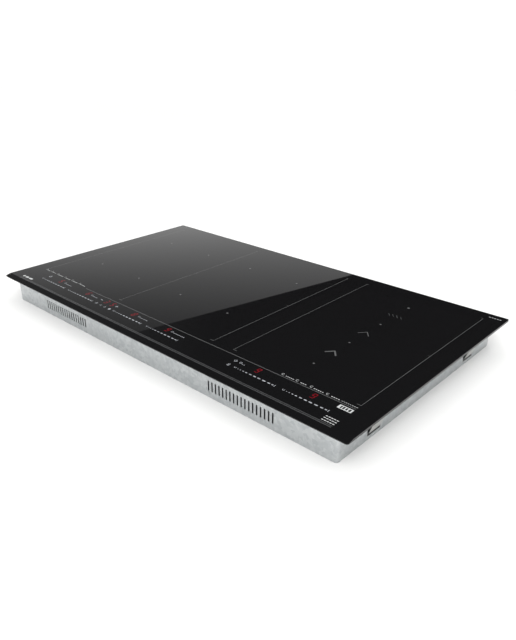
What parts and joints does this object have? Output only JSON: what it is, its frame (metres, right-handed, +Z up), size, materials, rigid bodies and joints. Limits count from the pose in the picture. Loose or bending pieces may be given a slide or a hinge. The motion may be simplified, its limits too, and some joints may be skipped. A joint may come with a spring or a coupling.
{
  "type": "electric induction cooktop",
  "caption": "Wide built-in induction hob with a bevelled black glass-ceramic plate over a shallow sheet-steel housing, coils, power boards and fans.",
  "frame": {"origin": "middle of the worktop plane, on the underside of the seal tape", "axes": "+X to the user's right, +Y to the back of the hob, +Z up out of the cooking surface"},
  "size_m": [0.9, 0.51, 0.056],
  "materials": {
    "glass_ceramic": "polished black glass-ceramic with a light grey print",
    "seal_foam": "closed-cell foam tape",
    "frame_steel": "galvanised folded steel",
    "galvanised_steel": "galvanised sheet with fine spangle",
    "zinc_plated_steel": "zinc plated",
    "tray_plastic": "moulded polyamide, dark grey",
    "circuit_board": "glass-epoxy laminate with solder resist",
    "extruded_aluminium": "plain extruded",
    "component_resin": "moulded resin cases",
    "fan_plastic": "moulded black plastic",
    "ground_steel": "ground steel",
    "display_plastic": "smoked display block",
    "contact_foam": "conductive foam",
    "ribbon_sleeve": "insulating sleeve",
    "terminal_plastic": "moulded polyamide, light grey",
    "terminal_brass": "turned brass",
    "grommet_rubber": "moulded rubber",
    "enamelled_wire": "wound enamelled litz wire",
    "carrier_aluminium": "pressed aluminium sheet",
    "former_plastic": "moulded heat-proof plastic",
    "ferrite": "sintered ferrite",
    "mica": "pressed mica sheet",
    "sensor_resin": "potted sensor",
    "spring_steel": "coiled spring wire",
    "clip_stainless": "stainless spring strip"
  },
  "bodies": {
    "root": {"glass_ceramic_top": "glass_ceramic", "edge_seal_tape": "seal_foam", "support_frame": "frame_steel", "housing_tray": "galvanised_steel", "housing_screws": "zinc_plated_steel", "electronics_tray": "tray_plastic", "power_board_left": "circuit_board", "power_board_right": "circuit_board", "heat_sink_left": "extruded_aluminium", "heat_sink_right": "extruded_aluminium", "power_components_left": "component_resin", "power_components_right": "component_resin", "filter_board": "circuit_board", "filter_components": "component_resin", "fan_housing_left": "fan_plastic", "fan_housing_right": "fan_plastic", "fan_screws": "zinc_plated_steel", "touch_board_tray": "tray_plastic", "touch_board": "circuit_board", "display_units": "display_plastic", "touch_contacts": "contact_foam", "control_ribbon": "ribbon_sleeve", "terminal_block": "terminal_plastic", "terminal_screws": "terminal_brass", "terminal_bezel": "terminal_plastic", "cable_inlet_grommet": "grommet_rubber", "mains_harness": "ribbon_sleeve", "carrier_springs_flex": "spring_steel", "carrier_springs_slide": "spring_steel"},
    "flex_carrier": {"coil_carrier_flex": "carrier_aluminium", "coil_formers_flex": "former_plastic", "ferrite_bars_flex": "ferrite", "mica_sheet_flex": "mica", "temperature_sensors_flex": "sensor_resin", "flex_coil_1": "enamelled_wire", "flex_coil_2": "enamelled_wire", "flex_coil_3": "enamelled_wire", "flex_coil_4": "enamelled_wire", "flex_coil_5": "enamelled_wire", "flex_coil_6": "enamelled_wire", "flex_coil_7": "enamelled_wire", "flex_coil_8": "enamelled_wire"},
    "slide_carrier": {"coil_carrier_slide": "carrier_aluminium", "coil_formers_slide": "former_plastic", "ferrite_bars_slide": "ferrite", "mica_sheet_slide": "mica", "temperature_sensors_slide": "sensor_resin", "slide_coil_1": "enamelled_wire", "slide_coil_2": "enamelled_wire", "slide_coil_3": "enamelled_wire", "slide_coil_4": "enamelled_wire"},
    "fan_left": {"fan_impeller_left": "fan_plastic", "fan_shaft_left": "ground_steel"},
    "fan_right": {"fan_impeller_right": "fan_plastic", "fan_shaft_right": "ground_steel"},
    "clip_front_left": {"worktop_clip_front_left": "clip_stainless"},
    "clip_back_left": {"worktop_clip_back_left": "clip_stainless"},
    "clip_front_right": {"worktop_clip_front_right": "clip_stainless"},
    "clip_back_right": {"worktop_clip_back_right": "clip_stainless"},
    "terminal_cover": {"terminal_cover": "terminal_plastic"}
  },
  "joints": [
    {"name": "flex_carrier_float", "type": "slide", "parent": "root", "child": "flex_carrier", "axis": [0, 0, 1], "range_m": [-0.003, 0], "stiffness_N_per_m": 16000, "springref_m": 0.004, "deforming": ["carrier_springs_flex"]},
    {"name": "slide_carrier_float", "type": "slide", "parent": "root", "child": "slide_carrier", "axis": [0, 0, 1], "range_m": [-0.003, 0], "stiffness_N_per_m": 8000, "springref_m": 0.004, "deforming": ["carrier_springs_slide"]},
    {"name": "fan_left_spin", "type": "hinge", "parent": "root", "child": "fan_left", "pos_m": [-0.241, -0.111, -0.035], "axis": [0, 0, 1], "continuous": true},
    {"name": "fan_right_spin", "type": "hinge", "parent": "root", "child": "fan_right", "pos_m": [0.241, -0.111, -0.035], "axis": [0, 0, 1], "continuous": true},
    {"name": "clip_front_left_flex", "type": "hinge", "parent": "root", "child": "clip_front_left", "pos_m": [-0.4246, -0.15, -0.04], "axis": [0, 1, 0], "range_deg": [0, 12], "stiffness_Nm_per_rad": 3, "springref_deg": -1.72},
    {"name": "clip_back_left_flex", "type": "hinge", "parent": "root", "child": "clip_back_left", "pos_m": [-0.4246, 0.15, -0.04], "axis": [0, 1, 0], "range_deg": [0, 12], "stiffness_Nm_per_rad": 3, "springref_deg": -1.72},
    {"name": "clip_front_right_flex", "type": "hinge", "parent": "root", "child": "clip_front_right", "pos_m": [0.4246, -0.15, -0.04], "axis": [0, -1, 0], "range_deg": [0, 12], "stiffness_Nm_per_rad": 3, "springref_deg": -1.72},
    {"name": "clip_back_right_flex", "type": "hinge", "parent": "root", "child": "clip_back_right", "pos_m": [0.4246, 0.15, -0.04], "axis": [0, -1, 0], "range_deg": [0, 12], "stiffness_Nm_per_rad": 3, "springref_deg": -1.72},
    {"name": "terminal_cover_hinge", "type": "hinge", "parent": "root", "child": "terminal_cover", "pos_m": [0.33, 0.2455, -0.04], "axis": [-1, 0, 0], "range_deg": [0, 95]}
  ]
}
